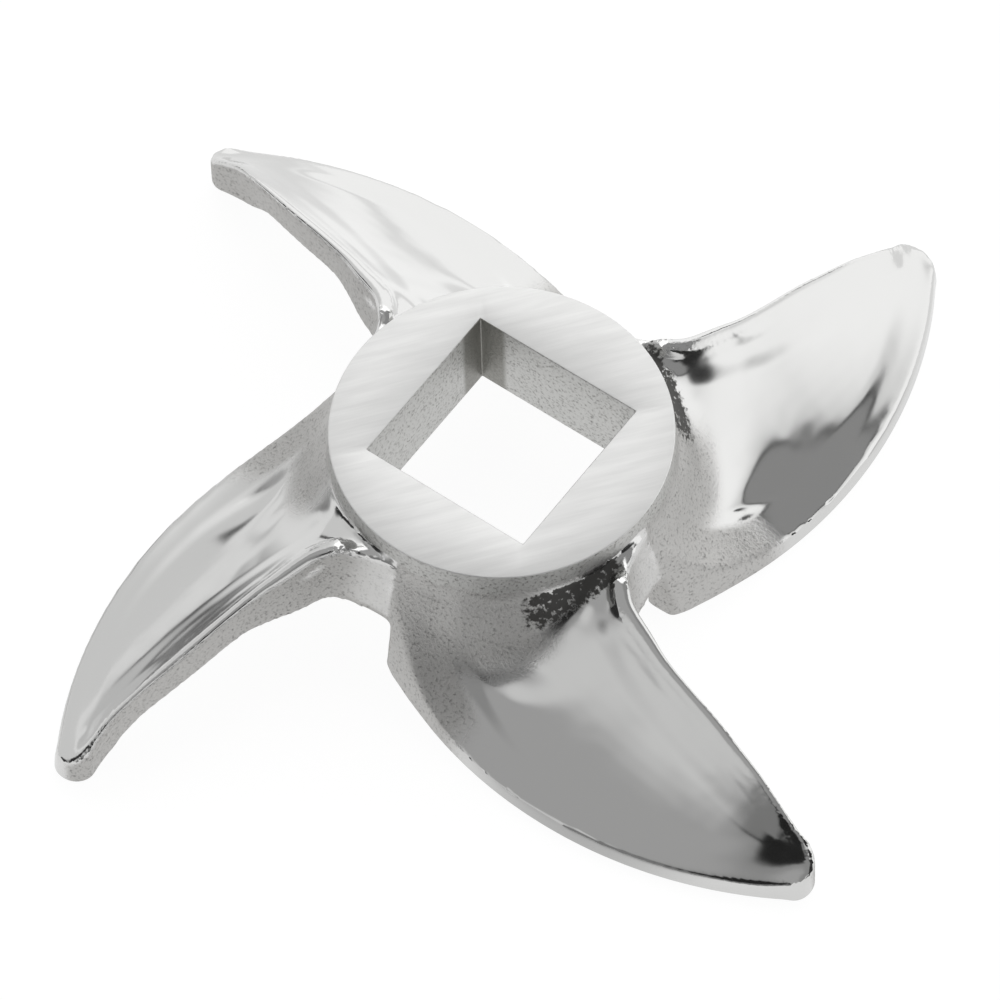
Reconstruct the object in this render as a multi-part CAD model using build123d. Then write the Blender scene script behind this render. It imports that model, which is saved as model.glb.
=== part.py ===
"""Meat grinder knife: a cast cutter with swept arms round a hub with a square drive hole.

Millimetres, +Z up.  The origin is on the drive axis, in the plane of the cutting lands, so the
knife stands on its lands.  One arm is described, on the side of -X, and repeated round the axis.
An arm is a drafted outline under a hollowed roof that falls from a ridge on its trailing side to
a thin rim above the cutting edge.
"""
from build123d import *
import os
from math import atan2, cos, exp, hypot, radians, sin, tanh

# ---- hub --------------------------------------------------------------------------------------
arm_count = 4
hub_face_diameter = 25.0        # ground face that the feed screw's shoulder presses on
hub_height = 11.8               # from the cutting plane to the ground face
hub_lift = 4.2                  # from the cutting plane to the hub's underside
hub_draft = 0.5                 # growth in radius from the face down to the cutting plane
hub_blend_height = 10.4         # where the arms' faces run out on the hub's side
hub_blend_reach = 1.1           # how far the blend between hub and face reaches
drive_across_flats = 13.8       # square hole for the feed screw's stub

# ---- arm outline ------------------------------------------------------------------------------
cutting_edge_radius = 33.4      # sweep of the leading, cutting edge at the cutting plane
cutting_edge_centre = (-17.7, -13.9)
cutting_edge_draft = 2.9        # how far the leading side leans in over the hub's height
root_radius = 15.1              # distance of the cutting edge's inner end from the axis
root_angle = 90.8               # direction of that end from the axis
tip_foot = [(-35.2, 14.4), (-36.2, 12.7), (-34.9, 11.2)]
tip_top = [(-34.2, 12.5), (-35.3, 11.6), (-34.2, 10.6)]
trailing_foot = [(-33.2, 11.45), (-28.7, 10.7), (-24.6, 9.3), (-20.4, 7.5), (-17.2, 5.4)]
trailing_top = [(-32.8, 10.2), (-28.7, 8.7), (-24.6, 7.9), (-20.4, 7.2), (-16.6, 5.9)]

# ---- arm roof ---------------------------------------------------------------------------------
# the ridge and the rim, from inside the hub out past the tip, as (x, y, height)
ridge = [
    (-14.6, -3.0, 10.8),
    (-14.2, 3.0, 10.4),
    (-15.3, 5.5, 9.9),
    (-18.4, 6.95, 9.0),
    (-22.0, 7.95, 8.3),
    (-26.4, 9.0, 7.5),
    (-30.5, 9.8, 6.6),
    (-33.2, 10.75, 5.1),
    (-34.8, 11.4, 3.6),
    (-38.5, 12.8, 1.4),
]
rim = [
    (3.5, 13.5, 6.5),
    (-0.2, 15.1, 4.8),
    (-4.5, 16.7, 2.4),
    (-10.2, 18.4, 1.3),
    (-17.7, 19.5, 1.2),
    (-25.2, 18.7, 1.2),
    (-31.3, 16.8, 1.2),
    (-34.5, 14.8, 1.6),
    (-36.2, 13.4, 2.4),
    (-38.5, 14.0, 2.0),
]
hollow = 1.45                   # 1 makes a flat face, more hollows it
ridge_rounding = 0.5            # how far from the ridge its rounded crest reaches
roof_margin = 2.0               # how far the roof runs past the ridge and the rim
roof_rows = 24
roof_columns = 16
roof_tolerance = 0.04

# ---- relief under the arms --------------------------------------------------------------------
land_width = 4.0                # cutting land along the leading edge
hub_recess_radius = 12.6        # round flat under the hub, inside the lands
relief_slope = 1.3              # run of the pocket's side for each millimetre of its height
relief_start = 22.0             # radius where the relief starts to come down
relief_end = 34.0               # radius where it ends at the tip's land
relief_end_height = 0.8

sector = 360 / arm_count
hub_radius = hub_face_diameter / 2
underground = 1.0               # how far the cutting shapes reach below the cutting plane


def polar(radius, angle):
    """A point at a radius and an angle in degrees."""
    return (radius * cos(radians(angle)), radius * sin(radians(angle)))


def outline(arc_radius, inner_radius, tip, trailing, height):
    """The edges round one arm and its slice of the hub, at a height, from the axis outwards."""
    cx, cy = cutting_edge_centre
    start = polar(inner_radius, root_angle)
    end = polar(inner_radius, root_angle + sector)
    first = atan2(start[1] - cy, start[0] - cx)
    last = atan2(tip[0][1] - cy, tip[0][0] - cx)
    middle = (first + last) / 2
    crown = (cx + arc_radius * cos(middle), cy + arc_radius * sin(middle))
    edges = [
        Line((0, 0), start),
        ThreePointArc(start, crown, tip[0]),
        ThreePointArc(*tip),
        Spline(tip[-1], *trailing, end, tangents=[(1, 0.2), polar(1, root_angle + 180)]),
        Line(end, (0, 0)),
    ]
    return [Pos(0, 0, height) * edge for edge in edges]


def roof_point(a, b, share):
    """A point of the hollowed face, on the line from the ridge to the rim and a little past both."""
    span = hypot(b.X - a.X, b.Y - a.Y)
    past_ridge = share * (span + 2 * roof_margin) - roof_margin
    x = a.X + (b.X - a.X) * past_ridge / span
    y = a.Y + (b.Y - a.Y) * past_ridge / span
    fall = past_ridge * tanh(past_ridge / ridge_rounding) / span
    z = b.Z + (a.Z - b.Z) * max(1 - fall, 0) ** hollow
    blend = exp(-max(hypot(x, y) - hub_radius, 0) / hub_blend_reach)
    return (x, y, z + (hub_blend_height - z) * blend)


def make_arm():
    """One arm with its slice of the hub: the drafted outline, cut off by the hollowed roof."""
    foot = outline(cutting_edge_radius, root_radius, tip_foot, trailing_foot, 0)
    top_radius = cutting_edge_radius - cutting_edge_draft
    top = outline(top_radius, hub_radius, tip_top, trailing_top, hub_height)
    sides = [Face.make_surface_from_curves(low, high) for low, high in zip(foot, top)]
    blank = Solid(Shell([make_face(foot), make_face(top), *sides]))
    ridge_line = Spline(*ridge)
    rim_line = Spline(*rim)
    rows = [(ridge_line @ (i / roof_rows), rim_line @ (i / roof_rows)) for i in range(roof_rows + 1)]
    grid = [[roof_point(a, b, i / roof_columns) for i in range(roof_columns + 1)] for a, b in rows]
    roof = Face.make_surface_from_array_of_points(grid, tol=roof_tolerance)
    return blank & Solid.extrude(roof, (0, 0, -3 * hub_height))


def make_hub():
    """The hub, with its drafted side."""
    foot = hub_radius + hub_draft
    section = Polyline((0, 0), (0, hub_height), (hub_radius, hub_height), (foot, 0), close=True)
    return revolve(Plane.XZ * make_face(section), Axis.Z)


def make_relief():
    """What is taken from under one arm and its slice of the hub, leaving the cutting land."""
    section = Polyline(
        (0, -underground),
        (0, hub_lift),
        (relief_start, hub_lift),
        (relief_end, relief_end_height),
        (relief_end, -underground),
        close=True,
    )
    ceiling = revolve(Plane.XZ * make_face(section), Axis.Z)
    land_radius = cutting_edge_radius - land_width
    cone = Polyline(
        (0, -underground),
        (0, land_radius / relief_slope),
        (land_radius, 0),
        (land_radius, -underground),
        close=True,
    )
    inner = Pos(*cutting_edge_centre) * revolve(Plane.XZ * make_face(cone), Axis.Z)
    reach = 3 * relief_end
    corners = Polyline((0, 0), polar(reach, root_angle), polar(reach, root_angle + sector), close=True)
    slice_of_space = extrude(make_face(corners), hub_height, both=True)
    recess = Cylinder(hub_recess_radius, 2 * hub_lift)
    return (ceiling & inner & slice_of_space) + (recess & slice_of_space)


def make_knife():
    """The whole knife: hub and arms in one casting, relieved underneath and bored square."""
    arm = make_arm()
    relief = make_relief()
    knife = make_hub()
    turns = [Rot(0, 0, sector * i) for i in range(arm_count)]
    for turn in turns:
        knife = knife + turn * arm
    for turn in turns:
        knife = knife - turn * relief
    square = Rectangle(drive_across_flats, drive_across_flats)
    return knife - extrude(square, 2 * hub_height, both=True)


os.makedirs("parts", exist_ok=True)
grinder_knife = make_knife()
export_step(grinder_knife, "parts/grinder_knife.step")
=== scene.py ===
"""Meat grinder knife: a cast, polished cutter whose swept arms stand round a ground hub.

Sizes are in millimetres, and are turned to metres on their way into a mesh or a shader.  +Z runs up
the drive axis from the plane of the cutting lands.  The first arm lies on the side of -X, and the
others are its turns about the axis.
"""

import logging
import math
from dataclasses import dataclass, field
from enum import Enum

import bmesh
import bpy
import numpy as np
from mathutils import Matrix, Vector

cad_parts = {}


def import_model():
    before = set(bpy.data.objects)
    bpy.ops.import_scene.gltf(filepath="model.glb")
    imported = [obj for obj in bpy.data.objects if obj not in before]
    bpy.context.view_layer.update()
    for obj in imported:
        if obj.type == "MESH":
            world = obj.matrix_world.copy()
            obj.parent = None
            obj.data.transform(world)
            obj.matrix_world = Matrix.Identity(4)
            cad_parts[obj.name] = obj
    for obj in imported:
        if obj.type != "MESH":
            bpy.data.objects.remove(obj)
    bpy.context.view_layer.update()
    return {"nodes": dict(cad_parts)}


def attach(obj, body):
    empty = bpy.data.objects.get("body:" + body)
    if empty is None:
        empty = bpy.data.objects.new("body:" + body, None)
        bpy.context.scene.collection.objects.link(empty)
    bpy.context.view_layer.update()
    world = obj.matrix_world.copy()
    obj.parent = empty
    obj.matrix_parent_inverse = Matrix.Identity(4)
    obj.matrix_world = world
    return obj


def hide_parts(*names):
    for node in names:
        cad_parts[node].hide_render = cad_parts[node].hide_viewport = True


log = logging.getLogger("knife")

MM = 0.001
WELD_MM = 0.001  # points closer than this are one point
ARM_TURN = 90.0  # degrees from one arm to the next
ROOT_ANGLE = 90.8  # direction from the axis where the first arm's quarter starts, in degrees

# where a smooth change starts and where it ends
Ramp = tuple[float, float]

# settings that several nodes share
SMOOTH = {"interpolation_type": "SMOOTHSTEP"}
COLOURS = {"data_type": "RGBA"}
TIMES = {"operation": "MULTIPLY"}
TIMES_PLUS = {"operation": "MULTIPLY_ADD"}
DISTANCE = {"operation": "DISTANCE"}


def linear(hex_colour: str) -> tuple[float, float, float, float]:
    """Turns an sRGB hex colour into the linear values that shaders take.

    Args:
        hex_colour: six hex digits, such as "c8c8c6".

    Returns:
        Linear red, green and blue, and full opacity.
    """
    values = [int(hex_colour[i : i + 2], 16) / 255 for i in (0, 2, 4)]
    red, green, blue = (
        v / 12.92 if v <= 0.04045 else ((v + 0.055) / 1.055) ** 2.4 for v in values
    )
    return (red, green, blue, 1.0)


def add_node(
    tree: bpy.types.NodeTree, kind: str, settings: dict | None = None, **inputs: object
) -> bpy.types.Node:
    """Adds a node, with its settings, input values and links.

    Args:
        tree: node tree that gets the node.
        kind: Blender's name of the node type.
        settings: attributes of the node itself.
        inputs: input values, or sockets to link from, by input name with _ for a space; i0, i1
            and so on go by place.

    Returns:
        The new node.
    """
    node = tree.nodes.new(kind)
    for name, value in (settings or {}).items():
        setattr(node, name, value)
    for name, value in inputs.items():
        by_place = name[0] == "i" and name[1:].isdigit()
        socket = node.inputs[int(name[1:])] if by_place else node.inputs[name.replace("_", " ")]
        if isinstance(value, bpy.types.NodeSocket):
            tree.links.new(value, socket)
        else:
            socket.default_value = value
    return node


def start_metal(name: str) -> tuple[bpy.types.Material, bpy.types.Node, bpy.types.NodeSocket]:
    """Starts the material of a metal surface.

    Args:
        name: the material's name.

    Returns:
        The material, its shader, and the object coordinates that its patterns read.
    """
    mat = bpy.data.materials.new(name)
    mat.use_nodes = True
    shader = mat.node_tree.nodes["Principled BSDF"]
    shader.inputs["Metallic"].default_value = 1.0
    coords = add_node(mat.node_tree, "ShaderNodeTexCoord").outputs["Object"]
    return mat, shader, coords


def draw_skin(
    tree: bpy.types.NodeTree, coords: bpy.types.NodeSocket, grain_mm: float, skin: str, pit: str
) -> tuple[bpy.types.NodeSocket, bpy.types.NodeSocket]:
    """Draws the skin that a mould leaves on steel: a fine grain with small dark pits.

    Args:
        tree: node tree that gets the nodes.
        coords: coordinates that the grain reads.
        grain_mm: width of the grain.
        skin: hex colour of the skin.
        pit: hex colour of its pits.

    Returns:
        The grain's height, and the skin's colour.
    """
    grain = add_node(
        tree, "ShaderNodeTexNoise",
        Vector=coords, Scale=1 / (grain_mm * MM), Detail=4.0, Roughness=0.6,
    ).outputs["Fac"]
    pits = add_node(
        tree, "ShaderNodeMapRange", SMOOTH, Value=grain, From_Min=0.50, From_Max=0.74
    ).outputs["Result"]
    colour = add_node(
        tree, "ShaderNodeMix", COLOURS, Factor=pits, i6=linear(skin), i7=linear(pit)
    ).outputs[2]
    return grain, colour


def smoothstep(low: float, high: float, x: np.ndarray) -> np.ndarray:
    """Rises smoothly from 0 at low to 1 at high, which may be the lesser of the two."""
    t = np.clip((x - low) / (high - low), 0.0, 1.0)
    return t * t * (3 - 2 * t)


def blur(table: np.ndarray, cells: float, axis: int) -> np.ndarray:
    """Blurs a table along one of its axes.

    Args:
        table: the table.
        cells: reach of the blur in cells.
        axis: axis to blur along.

    Returns:
        The blurred table.
    """
    reach = np.arange(-int(3 * cells), int(3 * cells) + 1)
    kernel = np.exp(-0.5 * (reach / cells) ** 2)
    return np.apply_along_axis(lambda row: np.convolve(row, kernel, mode="same"), axis, table)


def places(mesh: bpy.types.Mesh) -> np.ndarray:
    """Reads where the points of a mesh are, in millimetres."""
    at = np.empty(len(mesh.vertices) * 3)
    mesh.vertices.foreach_get("co", at)
    return at.reshape(-1, 3) / MM


def to_one_arm(at: np.ndarray) -> tuple[np.ndarray, np.ndarray]:
    """Turns every point into the first arm's quarter.

    Args:
        at: places in millimetres.

    Returns:
        Places in plan about the first arm, and the turn that takes each one back, in radians.
    """
    angle = np.degrees(np.arctan2(at[:, 1], at[:, 0]))
    radius = np.hypot(at[:, 0], at[:, 1])
    turns = np.floor((angle - ROOT_ANGLE) / ARM_TURN)
    own = np.radians(angle - ARM_TURN * turns)
    plan = np.stack([radius * np.cos(own), radius * np.sin(own)], axis=1)
    return plan, np.radians(ARM_TURN * turns)


class Region(Enum):
    """Surfaces of the knife, as material slots of its mesh."""

    CASTING = 0
    GROUND_FACE = 1
    HOLE = 2
    HUB_SIDE = 3
    LAND = 4


@dataclass(frozen=True)
class CastSteel:
    """Investment-cast alloy steel, tumbled and buffed on its faces and raw on its walls.

    Its mesh says how raw each place is, in "as_cast", and where scale clings, in "scale".
    """

    # buffing leaves a bright, soft mirror that shows the room, a little hazier in clouds
    buffed: str = "d6d6d5"
    buffed_roughness: Ramp = (0.09, 0.15)
    cloud_mm: float = 3.5
    # the wheel follows the casting's slow hollows, so the mirror's edges waver
    ripple_mm: float = 7.0
    # raw skin is dull and pitted; its grain of some 0.1 mm is drawn coarser, so that it shows
    cast: str = "c2c1bf"
    pit: str = "7d7c7a"
    grain_mm: float = 0.24
    # scale left by heat treatment is a near-black, ragged crust, also drawn coarser
    scale: str = "3f3e3c"
    flake_mm: float = 0.42
    dull_roughness: float = 0.55

    def material(self) -> bpy.types.Material:
        """Builds the casting's material.

        Returns:
            The material.
        """
        mat, shader, coords = start_metal("cast_steel_buffed")
        tree = mat.node_tree
        raw = add_node(tree, "ShaderNodeAttribute", {"attribute_name": "as_cast"}).outputs["Fac"]
        grain, skin = draw_skin(tree, coords, self.grain_mm, self.cast, self.pit)
        colour = add_node(
            tree, "ShaderNodeMix", COLOURS, Factor=raw, i6=linear(self.buffed), i7=skin
        )
        dark_patch = self._crust(tree, coords)
        scaled = add_node(
            tree, "ShaderNodeMix", COLOURS,
            Factor=dark_patch, i6=colour.outputs[2], i7=linear(self.scale),
        )
        tree.links.new(scaled.outputs[2], shader.inputs["Base Color"])
        cloud = add_node(
            tree, "ShaderNodeTexNoise", Vector=coords, Scale=1 / (self.cloud_mm * MM), Detail=3.0
        )
        bright, hazy = self.buffed_roughness
        sheen = add_node(
            tree, "ShaderNodeMapRange",
            Value=cloud.outputs["Fac"], From_Min=0.3, From_Max=0.7, To_Min=bright, To_Max=hazy,
        )
        dull = add_node(tree, "ShaderNodeMath", {"operation": "MAXIMUM"}, i0=raw, i1=dark_patch)
        gloss = add_node(
            tree, "ShaderNodeMix",
            Factor=dull.outputs[0], i2=sheen.outputs["Result"], i3=self.dull_roughness,
        )
        tree.links.new(gloss.outputs[0], shader.inputs["Roughness"])
        ripple = add_node(
            tree, "ShaderNodeTexNoise", Vector=coords, Scale=1 / (self.ripple_mm * MM), Detail=1.0
        )
        wave = add_node(
            tree, "ShaderNodeBump", Height=ripple.outputs["Fac"], Strength=0.10, Distance=0.5 * MM
        )
        depth = add_node(tree, "ShaderNodeMath", TIMES, i0=grain, i1=raw)
        bump = add_node(
            tree, "ShaderNodeBump",
            Height=depth.outputs[0], Strength=0.8, Distance=0.12 * MM,
            Normal=wave.outputs["Normal"],
        )
        tree.links.new(bump.outputs["Normal"], shader.inputs["Normal"])
        return mat

    def _crust(
        self, tree: bpy.types.NodeTree, coords: bpy.types.NodeSocket
    ) -> bpy.types.NodeSocket:
        """Breaks the scale up into flakes towards its edge.

        Args:
            tree: node tree that gets the nodes.
            coords: coordinates that the flakes read.

        Returns:
            How much scale covers each place.
        """
        clings = add_node(tree, "ShaderNodeAttribute", {"attribute_name": "scale"}).outputs["Fac"]
        flakes = add_node(
            tree, "ShaderNodeTexNoise",
            Vector=coords, Scale=1 / (self.flake_mm * MM), Detail=4.0, Roughness=0.6,
        )
        left = add_node(tree, "ShaderNodeMath", TIMES, i0=flakes.outputs["Fac"], i1=clings)
        return add_node(
            tree, "ShaderNodeMapRange", SMOOTH,
            Value=left.outputs[0], From_Min=0.29, From_Max=0.43, To_Max=0.92,
        ).outputs["Result"]


@dataclass(frozen=True)
class GroundSteel:
    """Surface-ground steel: one flat face under fine parallel scratches."""

    name: str = "cast_steel_face_ground"
    # the scratches scatter light across their lay, so the face is pale and even, not a mirror
    colour: str = "e9e9e8"
    shade: str = "e2e2e1"
    roughness: Ramp = (0.52, 0.48)
    lay_degrees: float = 52.0
    # the grit's scratches are some 0.03 mm wide, and are drawn coarser, so that they show
    scratch_mm: float = 0.16
    scratch_squash: float = 0.035
    # a worn wheel leaves broader streaks among them
    streak_mm: float = 0.7
    streak_squash: float = 0.12

    def material(self) -> bpy.types.Material:
        """Builds the ground face's material.

        Returns:
            The material.
        """
        mat, shader, coords = start_metal(self.name)
        tree = mat.node_tree
        turn = (0.0, 0.0, -math.radians(self.lay_degrees))
        along = add_node(
            tree, "ShaderNodeVectorRotate", {"rotation_type": "EULER_XYZ"},
            Vector=coords, Rotation=turn,
        )
        patterns = (
            (self.scratch_mm, self.scratch_squash),
            (self.streak_mm, self.streak_squash),
        )
        heights = []
        for width, squash in patterns:
            drawn_out = add_node(
                tree, "ShaderNodeVectorMath", TIMES, i0=along.outputs[0], i1=(squash, 1.0, 0.0)
            )
            pattern = add_node(
                tree, "ShaderNodeTexNoise",
                Vector=drawn_out.outputs[0], Scale=1 / (width * MM), Detail=3.0,
            )
            heights.append(pattern.outputs["Fac"])
        fine, broad = heights
        mixed = add_node(
            tree, "ShaderNodeMath", TIMES_PLUS, i0=fine, i1=0.45, i2=broad
        ).outputs[0]
        tone = add_node(tree, "ShaderNodeMapRange", Value=mixed, From_Min=0.52, From_Max=0.92)
        colour = add_node(
            tree, "ShaderNodeMix", COLOURS,
            Factor=tone.outputs["Result"], i6=linear(self.shade), i7=linear(self.colour),
        )
        tree.links.new(colour.outputs[2], shader.inputs["Base Color"])
        dull, bright = self.roughness
        gloss = add_node(
            tree, "ShaderNodeMapRange",
            Value=mixed, From_Min=0.5, From_Max=0.95, To_Min=dull, To_Max=bright,
        )
        tree.links.new(gloss.outputs["Result"], shader.inputs["Roughness"])
        bump = add_node(tree, "ShaderNodeBump", Height=fine, Strength=0.06, Distance=0.02 * MM)
        tree.links.new(bump.outputs["Normal"], shader.inputs["Normal"])
        return mat


@dataclass(frozen=True)
class RawSteel:
    """Steel as the mould or the broach left it, with neither tumbling nor buffing."""

    name: str = "cast_steel_as_cast"
    # it scatters light as fine sandpaper does, between small dark pits
    colour: str = "c6c6c4"
    pit: str = "848380"
    roughness: float = 0.5
    # its grain of some 0.1 mm is drawn coarser, so that it shows
    grain_mm: float = 0.24
    # a painted dark reflection darkens the walls round one corner of the hole
    painted_reflection: str = "908f8a"
    painted_reflection_mm: float = 0.0
    corner_mm: tuple[float, float] = (-6.9, 6.9)

    def material(self) -> bpy.types.Material:
        """Builds the raw surface's material.

        Returns:
            The material.
        """
        mat, shader, coords = start_metal(self.name)
        tree = mat.node_tree
        grain, colour = draw_skin(tree, coords, self.grain_mm, self.colour, self.pit)
        # paints a dark reflection round one corner of the hole
        if self.painted_reflection_mm:
            dark_patch = self._painted_reflection(tree, coords, grain)
            colour = add_node(
                tree, "ShaderNodeMix", COLOURS, Factor=dark_patch, i6=colour, i7=linear(self.painted_reflection)
            ).outputs[2]
        tree.links.new(colour, shader.inputs["Base Color"])
        gloss = add_node(
            tree, "ShaderNodeMapRange", Value=grain, From_Min=0.3, From_Max=0.7,
            To_Min=self.roughness - 0.08, To_Max=self.roughness + 0.1,
        )
        tree.links.new(gloss.outputs["Result"], shader.inputs["Roughness"])
        bump = add_node(tree, "ShaderNodeBump", Height=grain, Strength=0.6, Distance=0.08 * MM)
        tree.links.new(bump.outputs["Normal"], shader.inputs["Normal"])
        return mat

    def _painted_reflection(
        self, tree: bpy.types.NodeTree, coords: bpy.types.NodeSocket, grain: bpy.types.NodeSocket
    ) -> bpy.types.NodeSocket:
        """Paints a dark reflection round one corner of the hole, with a ragged edge.

        Args:
            tree: node tree that gets the nodes.
            coords: object coordinates.
            grain: the skin's grain, which makes the edge ragged.

        Returns:
            How unworked each place is.
        """
        corner = (self.corner_mm[0] * MM, self.corner_mm[1] * MM, 0.0)
        plan = add_node(tree, "ShaderNodeVectorMath", TIMES, i0=coords, i1=(1.0, 1.0, 0.0))
        off = add_node(tree, "ShaderNodeVectorMath", DISTANCE, i0=plan.outputs[0], i1=corner)
        ragged = add_node(
            tree, "ShaderNodeMath", TIMES_PLUS, i0=grain, i1=0.8 * MM, i2=off.outputs["Value"]
        )
        low, high = ((self.painted_reflection_mm + step) * MM for step in (0.2, 0.6))
        return add_node(
            tree, "ShaderNodeMapRange",
            Value=ragged.outputs[0], From_Min=low, From_Max=high, To_Min=0.9, To_Max=0.0,
        ).outputs["Result"]


@dataclass
class Hub:
    """The hub's crisp faces: the ground face, the square hole, the underside and the side."""

    face_radius: float = 12.5
    foot_radius: float = 12.82
    height: float = 11.8
    lift: float = 4.2  # from the cutting plane to the hub's underside
    drive: float = 13.8  # across the flats of the square hole
    edge: float = 0.12  # width of the eased edges
    sharp_degrees: float = 40.0  # edges that turn more than this are eased
    segments: int = 192

    def _profile(self) -> list[tuple[float, bool, float, Region]]:
        """Lists the outlines round the shell, and the face that leads to each.

        Returns:
            Half width or radius, whether it is square, height, and region of the face before it.
        """
        return [
            (self.face_radius, False, self.height, Region.HUB_SIDE),
            (self.drive / 2, True, self.height, Region.GROUND_FACE),
            (self.drive / 2, True, self.lift, Region.HOLE),
            (self.foot_radius, False, self.lift, Region.HUB_SIDE),
        ]

    def build(self) -> bmesh.types.BMesh:
        """Builds the hub's shell by drawing one ring round it, then eases its edges.

        Returns:
            The mesh, with a material index on each face.
        """
        bm = bmesh.new()
        foot = Matrix.Translation((0, 0, self.lift * MM))
        bmesh.ops.create_circle(
            bm, segments=self.segments, radius=self.foot_radius * MM, matrix=foot
        )
        ring = list(bm.edges)
        for size, square, height, region in self._profile():
            made = bmesh.ops.extrude_edge_only(bm, edges=ring)["geom"]
            ring = [g for g in made if isinstance(g, bmesh.types.BMEdge)]
            for face in (g for g in made if isinstance(g, bmesh.types.BMFace)):
                face.material_index = region.value
            for vert in (g for g in made if isinstance(g, bmesh.types.BMVert)):
                plan = vert.co.xy.normalized()
                plan *= size * MM / (max(abs(plan.x), abs(plan.y)) if square else 1.0)
                vert.co = (plan.x, plan.y, height * MM)
        bmesh.ops.remove_doubles(bm, verts=bm.verts, dist=WELD_MM * MM)
        bmesh.ops.recalc_face_normals(bm, faces=bm.faces)
        sharp = [e for e in bm.edges if e.calc_face_angle() > math.radians(self.sharp_degrees)]
        bmesh.ops.bevel(
            bm, geom=sharp, offset=self.edge * MM, offset_type="OFFSET", affect="EDGES",
            segments=3, profile=0.5, material=-1,
        )
        for face in bm.faces:
            face.smooth = True
        return bm


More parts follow.
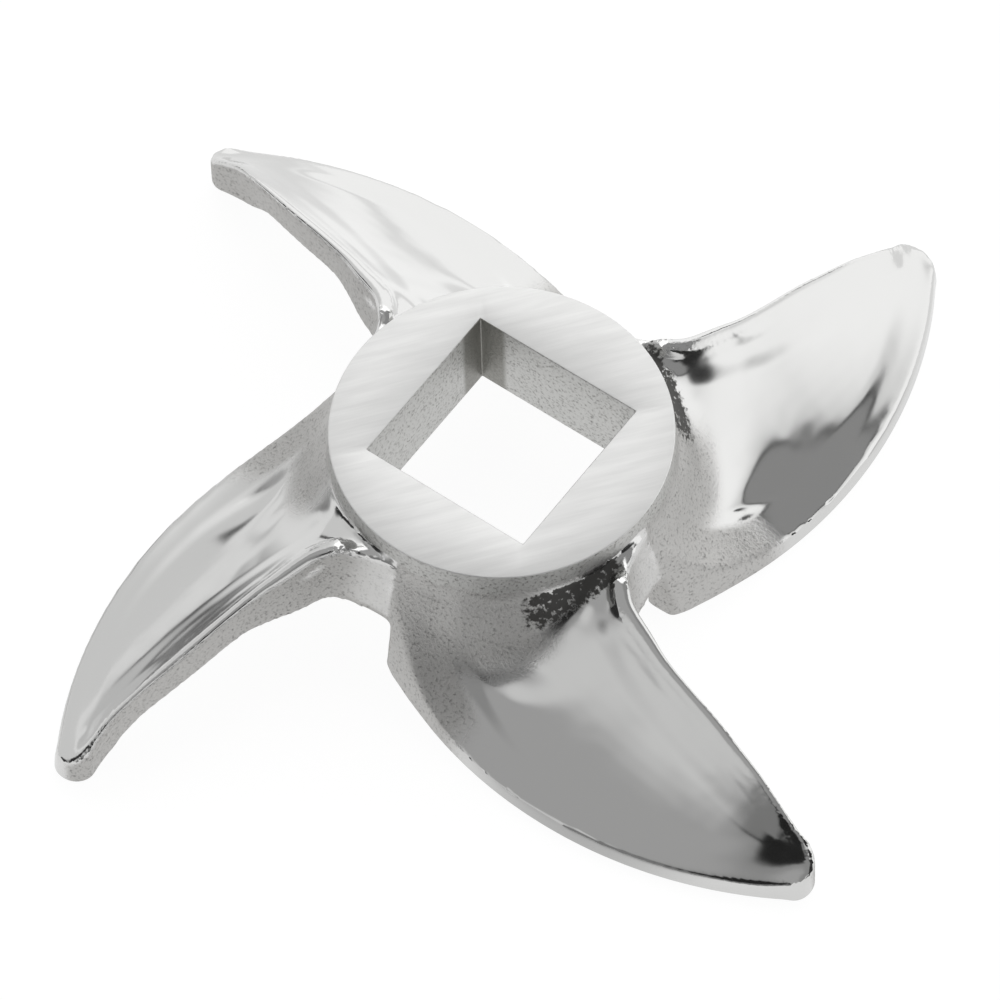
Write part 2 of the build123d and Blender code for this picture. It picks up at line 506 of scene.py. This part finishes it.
@dataclass
class Ridge:
    """The crest along an arm's trailing side, which tumbling and buffing roll to an even round."""

    line: tuple[tuple[float, float, float], ...] = (
        (-14.2, 3.0, 10.4), (-15.3, 5.3, 9.9), (-18.4, 6.95, 9.0), (-22.0, 7.95, 8.3),
        (-26.4, 9.0, 7.5), (-30.5, 9.8, 6.6), (-33.2, 10.75, 5.1), (-34.8, 11.4, 3.6),
    )
    line_step: float = 0.05  # between the places on the drawn line
    fine_reach: float = 1.35  # how far from the line the net is made finer
    reach: float = 2.2  # how far from the crest points are moved
    core: tuple[float, float] = (0.5, -1.25)  # the round's middle, across and up from the crest
    lean_reach: float = 1.3  # how far from the line the crest may lie
    evening: float = 1.5  # length that the blur evens out along the ridge
    cell: float = 0.25  # length of a cell of the table of radii
    cell_degrees: float = 3.0  # its width, as a turn about the core
    cell_evening: float = 3.0  # cells that the blur evens out round the core
    run_out: Ramp = (0.0, 2.0)  # from each end of the line to where the rolling is full
    middle: tuple[float, float] = (-24.0, 7.5)  # of the box that holds the ridge in plan
    half_size: tuple[float, float] = (14.0, 7.0)
    foot: float = 1.5  # height under which nothing is rolled

    def _draw(self) -> tuple[np.ndarray, np.ndarray]:
        """Draws a smooth line along the ridge of the first arm.

        Returns:
            Closely spaced places on the line, and how far along it each one is.
        """
        knots = np.array(self.line)
        run = np.concatenate([[0], np.cumsum(np.linalg.norm(np.diff(knots, axis=0), axis=1))])
        slope = np.gradient(knots, run, axis=0)
        along = np.arange(0, run[-1], self.line_step)
        k = np.clip(np.searchsorted(run, along, side="right") - 1, 0, len(run) - 2)
        span = (run[k + 1] - run[k])[:, None]
        t = ((along - run[k]) / span[:, 0])[:, None]
        line = (1 + 2 * t) * (1 - t) ** 2 * knots[k] + t * t * (3 - 2 * t) * knots[k + 1]
        line += span * (t * (1 - t) ** 2 * slope[k] - t * t * (1 - t) * slope[k + 1])
        return line, along

    def refine(self, mesh: bpy.types.Mesh) -> None:
        """Makes the net twice as fine along the ridges, where it turns over in a millimetre.

        Args:
            mesh: the even net, changed in place.
        """
        line, _ = self._draw()
        at = places(mesh)
        plan, _ = to_one_arm(at)
        spot = np.column_stack([plan, at[:, 2]])
        near = np.zeros(len(spot), bool)
        for place in line[::8]:
            near |= ((spot - place) ** 2).sum(axis=1) < self.fine_reach**2
        bm = bmesh.new()
        bm.from_mesh(mesh)
        bm.verts.ensure_lookup_table()
        edges = [e for e in bm.edges if near[e.verts[0].index] and near[e.verts[1].index]]
        bmesh.ops.subdivide_edges(bm, edges=edges, cuts=1, use_grid_fill=True)
        bm.to_mesh(mesh)
        bm.free()

    def _find_crest(
        self, side: np.ndarray, rise: np.ndarray, nearest: np.ndarray, count: int
    ) -> np.ndarray:
        """Finds the corner of the net's own ridge beside the drawn line.

        Args:
            side: how far each point lies to the dish's side of the line.
            rise: how far it lies above the line.
            nearest: which place on the line it belongs to.
            count: how many places the line has.

        Returns:
            Side and rise of the corner at each place on the line.
        """
        group, wide = 10, 9  # places that share one corner, and corners that one is evened with
        lean = np.where(np.abs(side) < self.lean_reach, np.exp(25 * (rise - side)), 0.0)
        cell = nearest // group
        cells = count // group + 1
        weight = np.bincount(cell, lean, cells) + 1e-12
        corner = np.column_stack(
            [np.bincount(cell, lean * value, cells) / weight for value in (side, rise)]
        )
        kernel = np.exp(-0.5 * (np.arange(-wide, wide + 1) / (wide / 3)) ** 2)
        padded = np.pad(corner, ((wide, wide), (0, 0)), mode="edge")
        smooth = [
            np.convolve(padded[:, i], kernel / kernel.sum(), mode="valid") for i in (0, 1)
        ]
        spots = np.arange(count) / group - 0.5
        return np.column_stack([np.interp(spots, np.arange(cells), values) for values in smooth])

    def _even_out(self, row: np.ndarray, column: np.ndarray, radius: np.ndarray) -> np.ndarray:
        """Evens the round's radius out, by a straight line fitted about each cell of a table.

        Args:
            row: place of each point along the ridge, in cells.
            column: its bearing about the core, in cells.
            radius: its distance from the core.

        Returns:
            The evened radius at each point.
        """
        shape = (int(row.max()) + 2, int(column.max()) + 2)
        cell = (np.round(row).astype(int), np.round(column).astype(int))
        sums = []
        for value in (np.ones(len(radius)), column, column**2, radius, column * radius):
            total = np.zeros(shape)
            np.add.at(total, cell, value)
            sums.append(blur(blur(total, self.evening / self.cell, 0), self.cell_evening, 1))
        weight = np.maximum(sums[0], 1e-9)
        middle, square, mean, cross = (total / weight for total in sums[1:])
        slope = (cross - middle * mean) / (square - middle**2 + 0.05)
        table = mean + slope * (np.arange(shape[1])[None, :] - middle)
        r, c = np.floor(row).astype(int), np.floor(column).astype(int)
        u, v = row - r, column - c
        even = (table[r, c] * (1 - v) + table[r, c + 1] * v) * (1 - u)
        even += (table[r + 1, c] * (1 - v) + table[r + 1, c + 1] * v) * u
        return even

    def roll(self, at: np.ndarray) -> None:
        """Evens the ridge out along its length.

        Args:
            at: places of the net's points in millimetres, changed in place.
        """
        line, along = self._draw()
        plan, turn = to_one_arm(at)
        boxed = (np.abs(plan - self.middle) < self.half_size).all(axis=1)
        close = np.nonzero(boxed & (at[:, 2] > self.foot))[0]
        spot = np.column_stack([plan[close], at[close, 2]])
        nearest = np.empty(len(spot), int)
        for part in np.array_split(np.arange(len(spot)), 40):  # in parts, to spare memory
            gap = spot[part, None, :2] - line[None, :, :2]
            nearest[part] = np.argmin((gap**2).sum(axis=2), axis=1)
        tangent = np.gradient(line[:, :2], axis=0)
        tangent /= np.linalg.norm(tangent, axis=1)[:, None]
        across = np.column_stack([tangent[:, 1], -tangent[:, 0]])[nearest]
        side = ((spot - line[nearest])[:, :2] * across).sum(axis=1)
        rise = spot[:, 2] - line[nearest, 2]
        crest = self._find_crest(side, rise, nearest, len(line))[nearest]
        side, rise = side - crest[:, 0], rise - crest[:, 1]
        away = np.hypot(side, rise)
        keep = away < self.reach
        close, nearest, away, across = close[keep], nearest[keep], away[keep], across[keep]
        side, rise = side[keep] - self.core[0], rise[keep] - self.core[1]
        bearing, radius = np.arctan2(rise, side), np.hypot(rise, side)
        bearing = np.where(bearing < -math.pi / 2, bearing + 2 * math.pi, bearing)
        column = (bearing + math.pi / 2) / math.radians(self.cell_degrees)
        even = self._even_out(along[nearest] / self.cell, column, radius)
        share = smoothstep(*self.run_out, along[nearest])
        share = share * smoothstep(*self.run_out, along[-1] - along[nearest])
        share = share * smoothstep(self.reach, 0.6 * self.reach, away)
        push = share * (even - radius) / radius
        move = np.column_stack([across * (side * push)[:, None], rise * push])
        c, s = np.cos(turn[close]), np.sin(turn[close])
        at[close, 0] += c * move[:, 0] - s * move[:, 1]
        at[close, 1] += s * move[:, 0] + c * move[:, 1]
        at[close, 2] += move[:, 2]


@dataclass
class Dish:
    """The hollow that is sunk in the face of each arm, inside a flat band."""

    line: tuple[tuple[float, float], ...] = (
        (-7.4, 9.8), (-5.6, 11.4), (-4.9, 12.5), (-5.8, 13.7), (-8.2, 15.2), (-11.6, 16.6),
        (-16.0, 17.4), (-20.5, 17.5), (-25.0, 16.8), (-29.0, 15.5), (-32.3, 13.9), (-33.6, 12.7),
        (-33.0, 12.1), (-30.5, 12.0), (-26.5, 11.3), (-22.0, 10.3), (-18.5, 9.2), (-15.7, 7.9),
        (-13.4, 6.6), (-11.4, 6.4), (-9.3, 8.0),
    )
    depth: float = 0.15
    fall: Ramp = (-0.15, 1.2)  # distance inside the outline over which it sinks
    facing: Ramp = (0.35, 0.6)  # how far up a face looks before it is sunk
    tip: Ramp = (-27.0, -33.0)  # where it grows shallow towards the tip
    tip_fade: float = 0.85
    root: Ramp = (-16.0, -10.0)  # where it grows deeper towards the hub
    root_fall: Ramp = (-0.3, 1.5)
    root_sink: float = 0.3  # share of the height that is lost there
    root_floor: float = 1.5  # height under which nothing is lost
    root_top: Ramp = (5.2, 2.8)  # the loss stops above this, so that the hub's blend stays

    def _outline(self) -> np.ndarray:
        """Rounds the dish's outline with a closed curve through its points.

        Returns:
            Corners of the rounded outline.
        """
        curve = bpy.data.curves.new("dish_outline", "CURVE")
        spline = curve.splines.new("NURBS")
        spline.points.add(len(self.line) - 1)
        for point, place in zip(spline.points, self.line):
            point.co = (*place, 0, 1)
        spline.order_u = 3
        spline.use_cyclic_u = True
        work = bpy.data.objects.new("dish_outline", curve)
        mesh = bpy.data.meshes.new_from_object(work)
        loop = np.array([v.co[:2] for v in mesh.vertices])
        bpy.data.objects.remove(work)
        bpy.data.meshes.remove(mesh)
        return loop

    def inside(self, plan: np.ndarray) -> np.ndarray:
        """Measures how far inside the dish's outline each point is.

        Args:
            plan: points in plan, about the first arm.

        Returns:
            Distance to the outline, negative outside it.
        """
        loop = self._outline()
        nearest = np.full(len(plan), 1e9)
        crossings = np.zeros(len(plan), int)
        for a, b in zip(loop, np.roll(loop, -1, axis=0)):
            edge = b - a
            share = np.clip(((plan - a) @ edge) / (edge @ edge), 0, 1)
            nearest = np.minimum(nearest, np.hypot(*(plan - a - share[:, None] * edge).T))
            if a[1] != b[1]:
                spans = (plan[:, 1] >= min(a[1], b[1])) & (plan[:, 1] < max(a[1], b[1]))
                meets = a[0] + (plan[:, 1] - a[1]) * edge[0] / edge[1]
                crossings += spans & (plan[:, 0] < meets)
        return np.where(crossings % 2 == 1, nearest, -nearest)

    def sink(self, at: np.ndarray, up: np.ndarray, plan: np.ndarray, inside: np.ndarray) -> None:
        """Sinks the dish.

        Args:
            at: places of the net's points in millimetres, changed in place.
            up: how far up the net looks at each of them.
            plan: their places in plan, about the first arm.
            inside: how far inside the dish's outline they are.
        """
        facing = smoothstep(*self.facing, up)
        fade = 1 - self.tip_fade * smoothstep(*self.tip, plan[:, 0])
        at[:, 2] -= facing * fade * self.depth * smoothstep(*self.fall, inside)
        root = smoothstep(*self.root, plan[:, 0]) * smoothstep(*self.root_fall, inside) * facing
        above = np.maximum(at[:, 2] - self.root_floor, 0)
        at[:, 2] -= self.root_sink * root * above * smoothstep(*self.root_top, at[:, 2])


@dataclass
class Seat:
    """Where the arms run into the hub: a low blend outside, and room for the hub's own faces."""

    blend_radius: float = 12.6
    blend_reach: float = 0.9  # how fast the blend dies away outwards
    blend_drop: float = 0.5
    blend_foot: Ramp = (6.5, 9.0)  # heights where the blend's drop sets in
    blend_head: Ramp = (10.75, 10.4)  # and where it ends
    blend_facing: Ramp = (0.05, 0.35)
    drive_room: float = 7.25  # half width of the square that is kept clear for the hole
    hub_reach: float = 13.3  # radius that holds what is drawn in
    top: float = 10.45  # height over which the net is drawn in under the hub's side
    top_soft: float = 0.25
    top_share: float = 0.025
    face: float = 11.6  # height that is lowered in full under the ground face
    face_drop: float = 0.5
    under: Ramp = (12.9, 13.3)  # radii and heights where the net is lifted over the underside
    under_top: Ramp = (4.3, 4.8)
    under_lift: float = 0.12

    def tuck(self, at: np.ndarray, up: np.ndarray) -> None:
        """Lets the dish run lower and straighter into the hub's side.

        Args:
            at: places of the net's points in millimetres, changed in place.
            up: how far up the net looks at each of them.
        """
        radius = np.hypot(at[:, 0], at[:, 1])
        climb = np.exp(-np.maximum(radius - self.blend_radius, 0) / self.blend_reach)
        climb = climb * smoothstep(*self.blend_foot, at[:, 2])
        climb = climb * smoothstep(*self.blend_head, at[:, 2])
        at[:, 2] -= self.blend_drop * climb * smoothstep(*self.blend_facing, up)

    def make_room(self, at: np.ndarray) -> None:
        """Draws the net in under the hub's own faces.

        Args:
            at: places of the net's points in millimetres, changed in place.
        """
        reach = np.maximum(np.abs(at[:, 0]), np.abs(at[:, 1]))
        out = self.drive_room / np.maximum(reach, 1e-6)
        at[:, :2] *= np.where(reach < self.drive_room, out, 1.0)[:, None]
        radius = np.hypot(at[:, 0], at[:, 1])
        near = radius < self.hub_reach
        top = near * smoothstep(self.top - self.top_soft, self.top + self.top_soft, at[:, 2])
        at[:, :2] *= (1 - self.top_share * top)[:, None]
        at[:, 2] -= near * self.face_drop * smoothstep(self.top, self.face, at[:, 2])
        under = (1 - smoothstep(*self.under, radius)) * (1 - smoothstep(*self.under_top, at[:, 2]))
        at[:, 2] += self.under_lift * under


@dataclass
class Skin:
    """Where the casting was left raw, and where scale clings to it."""

    wall: Ramp = (0.1, 0.3)  # how far up a face looks before it is buffed
    edge_centre: tuple[float, float] = (-17.7, -13.9)  # of the cutting edge's sweep
    edge_radius: float = 33.4
    edge_band: Ramp = (-1.6, -0.9)  # the leading wall, from the sweep, is buffed with the face
    edge_start: Ramp = (-0.6, -1.6)
    shelf: Ramp = (0.2, -0.6)  # distance inside the dish, outside which its root is raw
    shelf_plan: Ramp = (-10.5, -7.5)
    shelf_height: Ramp = (10.6, 9.6)
    shelf_share: float = 0.85
    root_radius: Ramp = (16.4, 14.6)  # the leading end of the root is raw too
    root_bearing: Ramp = (146.0, 132.0)
    root_share: float = 0.8
    scale_radius: Ramp = (15.3, 13.2)  # scale clings to the fillet between arm and hub
    scale_up: Ramp = (0.15, 0.45)
    scale_height: Ramp = (5.0, 6.5)
    scale_start: Ramp = (122.0, 138.0)
    scale_end: Ramp = (176.0, 160.0)
    scale_side: Ramp = (-2.0, 4.0)  # places along X where it sets in: only two arms have it

    def mark(
        self, mesh: bpy.types.Mesh, at: np.ndarray, up: np.ndarray, plan: np.ndarray,
        inside: np.ndarray,
    ) -> None:
        """Marks rawness and scale on the net, as "as_cast" and "scale".

        Args:
            mesh: the net.
            at: places of its points in millimetres.
            up: how far up the net looks at each of them.
            plan: their places in plan, about the first arm.
            inside: how far inside the dish's outline they are.
        """
        radius = np.hypot(at[:, 0], at[:, 1])
        bearing = np.degrees(np.arctan2(plan[:, 1], plan[:, 0]))
        raw = 1 - smoothstep(*self.wall, up)
        sweep = np.hypot(plan[:, 0] - self.edge_centre[0], plan[:, 1] - self.edge_centre[1])
        leading = smoothstep(*(self.edge_radius + offset for offset in self.edge_band), sweep)
        raw *= 1 - leading * smoothstep(*self.edge_start, plan[:, 0])
        shelf = smoothstep(*self.shelf, inside) * smoothstep(*self.shelf_plan, plan[:, 0])
        shelf = shelf * smoothstep(*self.shelf_height, at[:, 2])
        raw = np.maximum(raw, self.shelf_share * shelf * (up > 0))
        root = smoothstep(*self.root_radius, radius) * smoothstep(*self.root_bearing, bearing)
        raw = np.maximum(raw, self.root_share * root * (up > 0))
        scale = smoothstep(*self.scale_radius, radius) * smoothstep(*self.scale_up, up)
        scale *= smoothstep(*self.scale_height, at[:, 2])
        scale *= smoothstep(*self.scale_start, bearing) * smoothstep(*self.scale_end, bearing)
        scale *= smoothstep(*self.scale_side, at[:, 0])
        for name, value in (("as_cast", raw), ("scale", scale)):
            attribute = mesh.attributes.new(name, "FLOAT", "POINT")
            attribute.data.foreach_set("value", value.astype(np.float32))


@dataclass
class Arms:
    """The swept, dished arms, taken from the frame's casting and finished as a foundry would."""

    ridge: Ridge = field(default_factory=Ridge)
    dish: Dish = field(default_factory=Dish)
    seat: Seat = field(default_factory=Seat)
    skin: Skin = field(default_factory=Skin)
    octree: int = 8  # fineness of the even net
    fill: float = 0.99
    easing: int = 14  # rounds of smoothing that ease the net's edges
    grinding: float = 1.6  # stock left under the lands, so that the easing stays out of them

    def _copy(self, node: bpy.types.Object) -> bmesh.types.BMesh:
        """Copies the casting's mesh, joins its loose triangles and leaves stock under its lands.

        Args:
            node: the frame's casting.

        Returns:
            The joined copy.
        """
        bm = bmesh.new()
        bm.from_mesh(node.data)
        bmesh.ops.remove_doubles(bm, verts=bm.verts, dist=WELD_MM * MM)
        lands = [v for v in bm.verts if v.co.z < 0.01 * MM]
        bmesh.ops.translate(bm, verts=lands, vec=(0, 0, -self.grinding * MM))
        return bm

    def _remesh(self, bm: bmesh.types.BMesh) -> bpy.types.Mesh:
        """Turns the copy into an even net of small faces with eased edges.

        Args:
            bm: the joined copy, which is freed.

        Returns:
            The even net.
        """
        rough = bpy.data.meshes.new("arms_rough")
        bm.to_mesh(rough)
        bm.free()
        work = bpy.data.objects.new("arms_work", rough)
        bpy.context.scene.collection.objects.link(work)
        net = work.modifiers.new("net", "REMESH")
        net.mode = "SHARP"
        net.octree_depth = self.octree
        net.scale = self.fill
        net.use_remove_disconnected = False
        ease = work.modifiers.new("ease", "SMOOTH")
        ease.factor = 0.5
        ease.iterations = self.easing
        graph = bpy.context.evaluated_depsgraph_get()
        mesh = bpy.data.meshes.new_from_object(work.evaluated_get(graph))
        bpy.data.objects.remove(work)
        return mesh

    def grind(self, mesh: bpy.types.Mesh) -> bmesh.types.BMesh:
        """Grinds the cutting lands flat, which leaves their edges sharp.

        Args:
            mesh: the finished net, with stock left under its lands.

        Returns:
            The ground mesh.
        """
        bm = bmesh.new()
        bm.from_mesh(mesh)
        everything = [*bm.verts, *bm.edges, *bm.faces]
        cut = bmesh.ops.bisect_plane(
            bm, geom=everything, plane_co=(0, 0, 0), plane_no=(0, 0, 1), clear_inner=True
        )
        rims = [g for g in cut["geom_cut"] if isinstance(g, bmesh.types.BMEdge)]
        for land in bmesh.ops.holes_fill(bm, edges=rims)["faces"]:
            land.smooth = True
            land.material_index = Region.LAND.value
        return bm

    def build(self, node: bpy.types.Object) -> bpy.types.Mesh:
        """Builds the arms' net, with the dish sunk in each arm and its roughness marked.

        Args:
            node: the frame's casting.

        Returns:
            The finished net, with stock left under its lands.
        """
        mesh = self._remesh(self._copy(node))
        self.ridge.refine(mesh)
        at = places(mesh)
        self.ridge.roll(at)
        mesh.vertices.foreach_set("co", (at * MM).ravel())
        mesh.update()
        normal = np.empty(at.size)
        mesh.vertices.foreach_get("normal", normal)
        up = normal.reshape(-1, 3)[:, 2]
        plan, _ = to_one_arm(at)
        inside = self.dish.inside(plan)
        self.dish.sink(at, up, plan, inside)
        self.seat.tuck(at, up)
        self.seat.make_room(at)
        mesh.vertices.foreach_set("co", (at * MM).ravel())
        self.skin.mark(mesh, at, up, plan, inside)
        mesh.shade_smooth()
        return mesh


@dataclass
class Knife:
    """The whole knife: the net of its arms with the crisp hub set in it, as one piece."""

    hub: Hub = field(default_factory=Hub)
    arms: Arms = field(default_factory=Arms)
    crease_degrees: float = 25.0  # edges that turn more than this stay crisp

    def _finishes(self) -> list[bpy.types.Material]:
        """Lists the finishes in the order of their regions.

        Returns:
            The materials.
        """
        # the hole's broached walls carry a painted dark reflection round one corner
        broached = RawSteel(
            name="cast_steel_broached", colour="cdcdcb", pit="8f8e8b", roughness=0.45,
            painted_reflection_mm=2.1,
        )
        finishes = {
            Region.CASTING: CastSteel(),
            Region.GROUND_FACE: GroundSteel(),
            Region.HOLE: broached,
            Region.HUB_SIDE: RawSteel(),
            Region.LAND: GroundSteel(name="cast_steel_land_ground", lay_degrees=20.0),
        }
        return [finishes[region].material() for region in Region]

    def build(self, node: bpy.types.Object) -> bpy.types.Object:
        """Joins hub and arms and dresses them.

        Args:
            node: the frame's casting, which the piece stands for.

        Returns:
            The piece.
        """
        arms = self.arms.build(node)
        shell = self.hub.build()
        for name in ("as_cast", "scale"):
            shell.verts.layers.float.new(name)
        crisp = bpy.data.meshes.new("hub_shell")
        shell.to_mesh(crisp)
        shell.free()
        joined = self.arms.grind(arms)
        joined.from_mesh(crisp)
        mesh = bpy.data.meshes.new("knife")
        joined.to_mesh(mesh)
        joined.free()
        mesh.set_sharp_from_angle(angle=math.radians(self.crease_degrees))
        for finish in self._finishes():
            mesh.materials.append(finish)
        piece = bpy.data.objects.new("knife", mesh)
        bpy.context.scene.collection.objects.link(piece)
        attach(piece, "root")
        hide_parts(node.name)
        mesh.calc_loop_triangles()
        log.info("knife: %d triangles", len(mesh.loop_triangles))
        return piece


@dataclass(frozen=True)
class Card:
    """A round card in the tent: where it hangs, how wide and soft it looks, and how bright it is.

    All are degrees but the level.
    """

    azimuth: float
    from_zenith: float
    reach: float
    softness: float
    level: float

    def direction(self) -> tuple[float, float, float]:
        """Gives the direction of the card's middle."""
        a, t = math.radians(self.azimuth), math.radians(self.from_zenith)
        return (math.cos(a) * math.sin(t), math.sin(a) * math.sin(t), math.cos(t))


@dataclass(frozen=True)
class Shade:
    """A patch of the floor's glow: its middle, where it starts and stops fading, and its level."""

    x_mm: float
    y_mm: float
    inner_mm: float
    outer_mm: float
    level: float


@dataclass
class Studio:
    """A pale floor in a white tent, with the camera looking down at the knife."""

    azimuth: float = 37.438
    elevation: float = 57.622
    roll: float = -1.712
    distance_mm: float = 542.75
    offset_mm: tuple[float, float] = (-0.296, 1.294)  # aim, across and up from the origin
    lens_mm: float = 267.0
    sensor_mm: float = 36.0
    wall_level: float = 0.85
    cards: tuple[Card, ...] = (
        Card(105, 85, 52, 30, 1.25),
        Card(35, 82, 30, 24, 1.25),
        Card(170, 85, 32, 24, 0.80),
        Card(-75, 75, 40, 16, 0.25),
        Card(-60, 12, 45.8, 1.5, 0.03),
        Card(-60, 12, 43.2, 1.5, 0.33),
        Card(-135, 32, 30, 22, 0.46),
        Card(-113, 57, 9, 14, 0.78),
        Card(127, 36, 14, 10, 1.7),
        Card(-68, 61, 13, 6, 0.02),
        Card(86, 47, 5, 4, 0.03),
        Card(-142, 82, 19, 8, 0.03),
        Card(0, 68, 17, 6, 0.03),
        Card(-4, 54, 13, 6, 0.03),
        Card(143, 88, 6, 4, 0.05),
    )
    floor_half_width: float = 3.0  # metres
    floor_seen: float = 0.92  # the floor's glow to the camera
    floor_glow: float = 0.85  # and to the knife, apart from the shades
    shades: tuple[Shade, ...] = (
        Shade(-26, 46, 14, 24, 1.15),
        Shade(-32, -24, 8, 18, 0.55),
        Shade(-37, -12, 5, 13, 0.06),
        Shade(30, 26, 5, 12, 0.5),
        Shade(20, -30, 8, 17, 0.5),
        Shade(24, -46, 14, 26, 0.25),
    )

    def camera(self) -> None:
        """Sets the camera up, with a long lens."""
        a, e, r = (math.radians(v) for v in (self.azimuth, self.elevation, self.roll))
        right = Vector((math.cos(a), math.sin(a), 0))
        back = Vector((math.sin(a) * math.cos(e), -math.cos(a) * math.cos(e), math.sin(e)))
        up = back.cross(right)
        turned_right = math.cos(r) * right + math.sin(r) * up
        turned_up = -math.sin(r) * right + math.cos(r) * up
        target = (turned_right * self.offset_mm[0] + turned_up * self.offset_mm[1]) * MM
        place = target + back * self.distance_mm * MM
        lens = bpy.data.cameras.new("camera")
        lens.lens = self.lens_mm
        lens.sensor_width = self.sensor_mm
        lens.clip_start = 0.01
        lens.clip_end = 10.0
        camera = bpy.data.objects.new("camera", lens)
        turn = Matrix((turned_right, turned_up, back)).transposed().to_4x4()
        camera.matrix_world = Matrix.Translation(place) @ turn
        bpy.context.scene.collection.objects.link(camera)
        bpy.context.scene.camera = camera

    def _board(self) -> bpy.types.Material:
        """Builds the floor's material: a matt white board that glows as if lit from all round.

        Returns:
            The material.
        """
        mat = bpy.data.materials.new("painted_board_matt_white")
        mat.use_nodes = True
        tree = mat.node_tree
        # matt paint shows no gloss at all, so the floor stays plain
        shader = tree.nodes["Principled BSDF"]
        shader.inputs["Base Color"].default_value = linear("707070")
        shader.inputs["Roughness"].default_value = 0.9
        shader.inputs["Specular IOR Level"].default_value = 0.0
        shader.inputs["Emission Color"].default_value = (1, 1, 1, 1)
        coords = add_node(tree, "ShaderNodeTexCoord").outputs["Object"]
        glow = self.floor_glow
        for shade in self.shades:
            middle = (shade.x_mm * MM, shade.y_mm * MM, 0)
            away = add_node(tree, "ShaderNodeVectorMath", DISTANCE, i0=coords, i1=middle)
            share = add_node(
                tree, "ShaderNodeMapRange", SMOOTH, Value=away.outputs["Value"],
                From_Min=shade.inner_mm * MM, From_Max=shade.outer_mm * MM,
            )
            glow = add_node(
                tree, "ShaderNodeMix", Factor=share.outputs["Result"], i2=shade.level, i3=glow
            ).outputs[0]
        seen = add_node(tree, "ShaderNodeLightPath").outputs["Is Camera Ray"]
        strength = add_node(tree, "ShaderNodeMix", Factor=seen, i2=glow, i3=self.floor_seen)
        tree.links.new(strength.outputs[0], shader.inputs["Emission Strength"])
        return mat

    def floor(self) -> None:
        """Lays a plain pale floor."""
        bm = bmesh.new()
        bmesh.ops.create_grid(bm, x_segments=1, y_segments=1, size=self.floor_half_width)
        mesh = bpy.data.meshes.new("floor")
        bm.to_mesh(mesh)
        bm.free()
        mesh.materials.append(self._board())
        piece = bpy.data.objects.new("floor", mesh)
        bpy.context.scene.collection.objects.link(piece)

    def tent(self) -> None:
        """Lights the scene with a white tent, whose cards are laid one over another in order."""
        world = bpy.data.worlds.new("tent")
        world.use_nodes = True
        tree = world.node_tree
        tree.nodes.clear()
        toward = add_node(tree, "ShaderNodeTexCoord").outputs["Generated"]
        level = self.wall_level
        for card in self.cards:
            facing = add_node(
                tree, "ShaderNodeVectorMath", {"operation": "DOT_PRODUCT"},
                i0=toward, i1=card.direction(),
            )
            inner, outer = (
                math.cos(math.radians(card.reach + side * card.softness)) for side in (-0.5, 0.5)
            )
            share = add_node(
                tree, "ShaderNodeMapRange", SMOOTH,
                Value=facing.outputs["Value"], From_Min=outer, From_Max=inner,
            )
            level = add_node(
                tree, "ShaderNodeMix", Factor=share.outputs["Result"], i2=level, i3=card.level
            ).outputs[0]
        light = add_node(tree, "ShaderNodeBackground", Color=(1, 1, 1, 1), Strength=level)
        add_node(tree, "ShaderNodeOutputWorld", Surface=light.outputs[0])
        bpy.context.scene.world = world
        bpy.context.scene.view_settings.view_transform = "Standard"

    def build(self) -> None:
        """Sets up the camera, the floor and the light."""
        self.camera()
        self.floor()
        self.tent()


def main() -> None:
    """Loads the frame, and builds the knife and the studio."""
    logging.basicConfig(level=logging.INFO)
    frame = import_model()
    Knife().build(frame["nodes"]["grinder_knife"])
    Studio().build()


if __name__ == "__main__":
    main()
